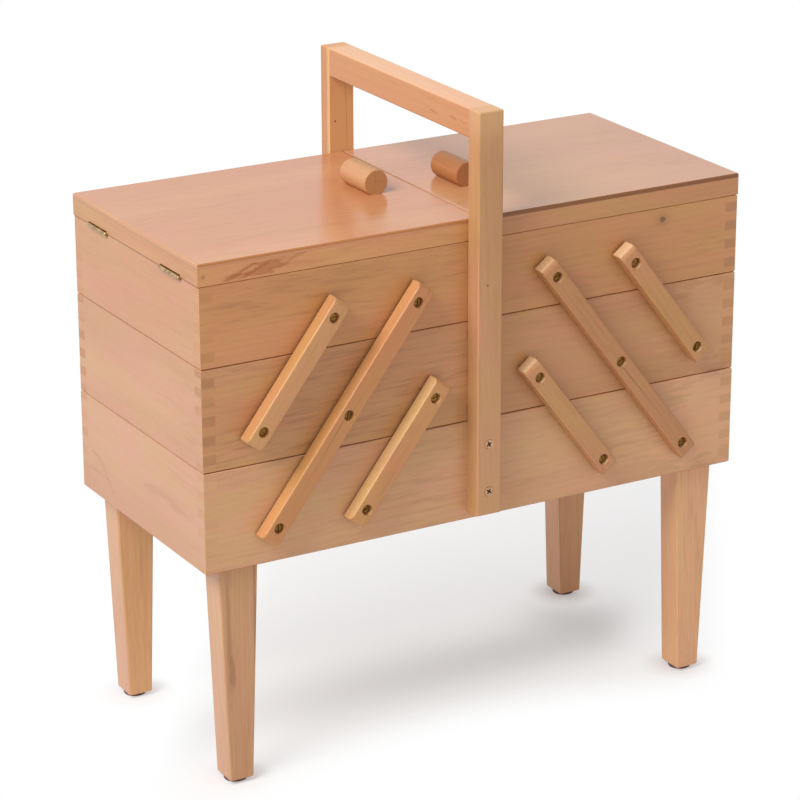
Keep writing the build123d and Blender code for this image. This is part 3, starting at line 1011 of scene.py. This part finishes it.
legSource = legBlank()
glideRadius = legShape["glideRadius"]
glideSource = turnRod("glide", [
    (legShape["glide"], glideRadius), (0.6, glideRadius),
    (0.18, glideRadius - 0.25), (0.0, glideRadius - 0.8),
], 48)
glideSource.data.transform(Matrix.Rotation(pi / 2, 4, "X"))
floorScrew = copyPiece(screwBlank, "floorScrew", Matrix.Rotation(-pi / 2, 4, "X"))
swirl = {"bend": 5, "halo": 0.26, "core": 0.42, "ragged": 1.4, "colour": (0.26, 0.115, 0.050)}
woodMarks["left_front_leg"] = [
    spot((-198, -94, 88), (14, 5, 2.8), swirl),
    spot((-200.5, -94, 122), (46, 6, 1.7), swirl, core=0.30),
    spot((-179.5, -94, 118), (58, 6, 1.2), swirl, bend=1),
]
leftFace, frontFace = (-1, 0, 0), (0, -1, 0)
# painted light and shade: each leg's tints make its front or left face paler or darker as the lamps fall on
# them, and lift the back right leg's left face out of the case's shadow
legWoods = {
    "left_front": {"tone": (0.560, 0.294, 0.138), "seed": 71.9, "tints": [(leftFace, (0.98, 1.01, 1.17))]},
    "left_back": {
        "tone": (0.560, 0.258, 0.092), "seed": 73.8,
        "tints": [(frontFace, (1.22, 1.45, 1.82)), (leftFace, (1.05, 1.24, 2.02))],
    },
    "right_front": {"tone": (0.735, 0.388, 0.186), "seed": 75.7, "tints": [(frontFace, (1.0, 1.02, 1.03))]},
    "right_back": {"tone": (0.640, 0.330, 0.160), "seed": 77.6, "tints": [(leftFace, (1.36, 1.48, 1.65))]},
}
glides, floorScrews = [], []
for number, (leg, tones) in enumerate(legWoods.items(), 1):
    side, face = leg.split("_")
    node = f"{leg}_leg"
    x, y = sides[side] * legShape["outX"], faces[face] * legShape["outY"]
    corner = Matrix.Translation(Vector((x, y, 0)) * mm)
    figure = wood(tones["tone"], rings=0.22, fibres=0.40, ringWidth=2.8, blush=0.6, faceTints=tones["tints"])
    finish = woodFinish(node, figure, grainTurns["z"], tones["seed"])
    finishPiece(copyPiece(legSource, node + "_bar", corner), "root", "leg_wood", finish, node)
    glides.append(copyPiece(glideSource, "glide", corner))
    for out in (-legShape["screwOut"], legShape["screwOut"]):
        matrix = Matrix.Rotation(radians(legShape["turnStep"] * number + out * 5), 4, "Z")
        place = (x + out, y, legShape["trayFloor"] + handleScrew["below"])
        floorScrews.append(copyPiece(floorScrew, "screw", settled(matrix, place)))
finishPiece(joinPieces("leg_glide_set", glides), "root", "glide_plastic", glideFinish(), "leg_glides")
finishPiece(joinPieces("leg_screws", floorScrews), "root", "brass", hingeBrass)
for source in (legSource, glideSource, floorScrew, screwBlank):
    dropPiece(source)
print("legs made")


# Knobs: dowels laid across the lids, with a flat glued down
knobShape = {"radius": 9.5, "length": 37.0, "flat": 1.0, "endRound": 0.8}
knobs = {
    "left": {"outX": 35.0, "alongY": 4.5, "tone": (0.560, 0.305, 0.132), "seed": 81.0},
    "right": {"outX": 32.0, "alongY": -10.5, "tone": (0.440, 0.175, 0.056), "seed": 84.3},
}
crack = {"core": 0.34, "colour": (0.17, 0.070, 0.028)}
radius, ease, end = knobShape["radius"], knobShape["endRound"], knobShape["length"] / 2
knobLevel = lidShape["top"] + radius - knobShape["flat"]
for side, own in knobs.items():
    knob = turnRod(f"{side}_knob_dowel", [
        (-end, radius - ease), (0.3 * ease - end, radius - 0.3 * ease), (ease - end, radius),
        (end - ease, radius), (end - 0.3 * ease, radius - 0.3 * ease), (end, radius - ease),
    ], 64)
    startEdit(knob, "FACE")
    bpy.ops.mesh.select_all(action="SELECT")
    flatLevel = (knobShape["flat"] - radius) * mm
    bpy.ops.mesh.bisect(plane_co=(0, 0, flatLevel), plane_no=(0, 0, 1), use_fill=True, clear_inner=True)
    bpy.ops.object.mode_set(mode="OBJECT")
    x, y = sides[side] * own["outX"], own["alongY"]
    knob.data.transform(Matrix.Translation(Vector((x, y, knobLevel)) * mm))
    node = f"{side}_knob"
    # two small drying cracks in the front end
    woodMarks[node] = [
        spot((x + 2, y - end, knobLevel + 0.8), (3, 5.5, 0.30), crack),
        spot((x - 1, y - end, knobLevel + 3.5), (3, 0.30, 4.5), crack),
    ]
    figure = wood(
        own["tone"], end=(0.98, 0.90, 0.86), rings=0.09, flecks=0.45, veins=0.5, roughness=0.42, coat=0.0,
        ringWidth=3.0,
    )
    finish = woodFinish(node, figure, grainTurns["y"], own["seed"])
    finishPiece(knob, f"{side}_lid", "knob_wood", finish, node)
print("knobs made")


# Butt hinges: two knuckles and the pin on the tray's leaf, one knuckle on the lid's
hingeShape = {
    "places": (-58.0, 58.0), "length": 30.0, "leafWidth": 8.0, "leafThickness": 1.0, "barrelRadius": 1.5,
    "gap": 0.15, "seam": 0.4, "axisX": 221.6, "axisZ": 376.8, "caseEnd": 220.0, "pinHead": 1.35,
    "screwOut": 9.5, "screwHead": 1.9, "screwStem": 1.2, "slotWidth": 0.5, "slotDepth": 0.25, "slotReach": 3,
    "leafClear": 0.3, "bridgeIn": 0.5, "bridgeEnd": 0.4, "bridgeEase": 0.1,
}


def knuckleRod(centre, length):
    radius = hingeShape["barrelRadius"]
    end = length / 2
    rod = turnRod("knuckle", [
        (-end, radius - 0.2), (0.15 - end, radius), (end - 0.15, radius), (end, radius - 0.2),
    ], 32)
    rod.data.transform(Matrix.Translation((0, centre * mm, 0)))
    return rod


def hingeHalf(up):
    # around the origin as its axis, for the right end of the case, with its leaf towards -X
    shape = hingeShape
    third = (shape["length"] - 2 * shape["gap"]) / 3
    near = up * shape["seam"] / 2
    far = near + up * shape["leafThickness"]
    inner = shape["caseEnd"] - shape["leafWidth"] - shape["axisX"]
    low, high = sorted((near, far))
    clear = -shape["barrelRadius"] - shape["leafClear"]
    leaf = addBlock("leaf", (inner, -shape["length"] / 2, low), (clear, shape["length"] / 2, high))
    offsets = (0,) if up > 0 else (-third - shape["gap"], third + shape["gap"])
    for offset in offsets:
        # a bridge joins each knuckle to the leaf
        start, stop = offset - third / 2 + shape["bridgeEase"], offset + third / 2 - shape["bridgeEase"]
        inside, outside = clear - shape["bridgeIn"], -shape["bridgeEnd"]
        weld(leaf, addBlock("bridge", (inside, start, low), (outside, stop, high)))
        weld(leaf, knuckleRod(offset, third))
    parts = [leaf]
    if up < 0:
        end, head = shape["length"] / 2, shape["pinHead"]
        for way in (-1, 1):
            pin = turnRod("pin", [
                (end - 0.5, head * 0.7), (end + 0.05, head),
                (end + 0.3, head * 0.85), (end + 0.42, head * 0.4),
            ], 24)
            pin.data.transform(Matrix.Rotation(0 if way > 0 else pi, 4, "Z"))
            parts.append(pin)
    for out in (-shape["screwOut"], shape["screwOut"]):
        # the heads lie in the leaf's inner surface, and show when the lid is open
        screwHead, slot = shape["screwHead"], shape["slotWidth"] / 2
        screw = turnRod("leafScrew", [
            (0.6, shape["screwStem"]), (0.05, screwHead), (-0.03, screwHead - 0.1),
        ], 24)
        start, stop = (-shape["slotReach"], -toolOut, -slot), (shape["slotReach"], shape["slotDepth"], slot)
        carve(screw, addBlock("slot", start, stop))
        screw.data.transform(Matrix.Rotation(up * pi / 2, 4, "X") @ Matrix.Rotation(0.5 + out * 0.3, 4, "Y"))
        screw.data.transform(Matrix.Translation(((inner + clear) / 2 * mm, out * mm, near * mm)))
        parts.append(screw)
    return joinPieces("hingeHalf", parts)


for leaf, (up, body) in {"tray": (-1, "top_tray"), "lid": (1, "lid")}.items():
    blank = hingeHalf(up)
    for side, sign in sides.items():
        halves = []
        for y in hingeShape["places"]:
            matrix = Matrix.Rotation(0 if sign > 0 else pi, 4, "Z")
            place = (sign * hingeShape["axisX"], y, hingeShape["axisZ"])
            halves.append(copyPiece(blank, "half", settled(matrix, place)))
        piece = joinPieces(f"{side}_hinge_{leaf}_halves", halves)
        finishPiece(piece, f"{side}_{body}", "brass", hingeBrass, f"{side}_hinge_{leaf}_leaves")
    dropPiece(blank)
print("hinges made")


# Camera
cameraPlace = {
    "at": (-1.1408, -1.9734, 1.0517), "turn": (70.086, 0.122, -29.905),
    "lens": 147.29, "sensor": 36, "farthest": 40,
}
clearSelection()
bpy.ops.object.camera_add(location=cameraPlace["at"], rotation=[radians(a) for a in cameraPlace["turn"]])
viewer = bpy.context.object
viewer.name = "viewer"
viewer.data.sensor_width = cameraPlace["sensor"]
viewer.data.lens = cameraPlace["lens"]
viewer.data.clip_end = cameraPlace["farthest"]
bpy.context.scene.camera = viewer

# Studio: one large soft lamp high on the left, and an even room
studio = {
    "roomLight": 0.46, "aim": (0, 0, 0.25), "floorSize": 16.0, "floorTone": (0.84, 0.815, 0.81),
    "floorLift": 0.67,
}
lamps = {
    "softBoxLeft": {"at": (-2.0, -0.55, 2.25), "size": 1.6, "watts": 76.0},
    "softBoxFront": {"at": (0.9, -2.6, 1.5), "size": 1.6, "watts": 5.0},
}
target = Vector(studio["aim"])
for name, lamp in lamps.items():
    at = Vector(lamp["at"])
    aim = (target - at).to_track_quat("-Z", "Y").to_euler()
    bpy.ops.object.light_add(type="AREA", location=at, rotation=aim)
    light = bpy.context.object
    light.name = name
    light.data.shape = "DISK"
    light.data.size = lamp["size"]
    light.data.energy = lamp["watts"]


def seenRay(shader):
    # camera, glossy and transmission rays see the plain background
    rays = shader.tree.nodes.new("ShaderNodeLightPath").outputs
    seen = Value(shader, rays["Is Camera Ray"])
    for other in ("Is Glossy Ray", "Is Transmission Ray"):
        seen = shader.maths("MAXIMUM", seen, Value(shader, rays[other]))
    return seen


room = bpy.data.worlds.new("room")
room.use_nodes = True
bpy.context.scene.world = room
roomShader = Shader(room.node_tree)
strength = studio["roomLight"] + (1 - studio["roomLight"]) * seenRay(roomShader)
roomShader.feed(room.node_tree.nodes["Background"].inputs["Color"], rgb(1, 1, 1))
roomShader.feed(room.node_tree.nodes["Background"].inputs["Strength"], strength)

# The floor is plain white past the shade that the case throws. across and deep are the shade's ends in X
# and Y, and it leans as it goes back. Its front edge bows, and a painted shadow darkens the white along a
# band near that edge and in a pool by the back leg on the right.
shade = {
    "across": (-0.145, 0.215), "deep": (-0.035, 0.40), "lean": 0.68, "nearFade": 0.07, "farFade": 0.09,
    "bowMiddle": -0.02, "bow": 1.2, "bandMiddle": 0.002, "bandReach": 0.045, "bandDark": 0.25,
    "bandGain": 0.35, "bandEnd": 0.165, "bandFade": 0.06, "pool": (0.165, 0.045), "poolReach": 0.034,
    "poolDark": 0.17, "footInner": 0.008, "footOuter": 0.034, "footDark": 0.5,
}


def between(shader, near, far, ends):
    # 1 from one end to the other, fading outside them
    start, end = ends
    rise = shader.within(near, start - shade["nearFade"], start)
    return rise * (1 - shader.within(far, end, end + shade["farFade"]))


def shadeFigure(shader, coords):
    # how much of the floor is shown as plain white, and how much painted shadow darkens that white
    x, y, _ = shader.parts(coords)
    lean = x - y * shade["lean"]
    offMiddle = x - shade["bowMiddle"]
    front = y + offMiddle * offMiddle * shade["bow"]
    across = between(shader, lean, lean, shade["across"])
    deep = between(shader, front, y, shade["deep"])
    lift = 1 - across * deep * (1 - studio["floorLift"])
    off = (y - shade["bandMiddle"]) / shade["bandReach"]
    band = shader.maths("EXPONENT", off * off * -1.0) * across * (x * shade["bandGain"] + shade["bandDark"])
    band = band * (1 - shader.within(lean, shade["bandEnd"], shade["bandEnd"] + shade["bandFade"]))
    offX, offY = x - shade["pool"][0], y - shade["pool"][1]
    pool = shader.maths("EXPONENT", (offX * offX + offY * offY) / -(shade["poolReach"] ** 2))
    for footX in (-legShape["outX"], legShape["outX"]):
        for footY in (-legShape["outY"], legShape["outY"]):
            # the shade under a foot stays
            reach = shader.vector("DISTANCE", coords, (footX * mm, footY * mm, 0), output="Value")
            clear = shader.within(reach, shade["footInner"], shade["footOuter"])
            lift = lift * (clear * shade["footDark"] + (1 - shade["footDark"]))
    return lift, band + pool * shade["poolDark"]


def floorFinish():
    material, shader, surface = newFinish("floorPaper", Roughness=0.9, Specular_IOR_Level=0.1)
    surface.inputs["Base Color"].default_value = rgb(*studio["floorTone"])
    lift, dark = shadeFigure(shader, shader.node("ShaderNodeTexCoord", output="Object"))
    # painted shadow: the band and the pool darken the white that the camera sees
    shadowedWhite = shader.blend(dark, rgb(1, 1, 1), rgb(0, 0, 0))
    white = shader.node("ShaderNodeEmission", None, {"Color": shadowedWhite, "Strength": 1.0})
    mixed = {0: lift * seenRay(shader), 1: Value(shader, surface.outputs[0]), 2: white}
    output = material.node_tree.nodes["Material Output"]
    shader.feed(output.inputs["Surface"], shader.node("ShaderNodeMixShader", None, mixed))
    return material


clearSelection()
bpy.ops.mesh.primitive_plane_add(size=studio["floorSize"], location=(0, 0, 0))
ground = bpy.context.object
ground.name = "floor"
ground.data.materials.append(floorFinish())
bpy.context.scene.view_settings.view_transform = "Standard"
print("studio set")
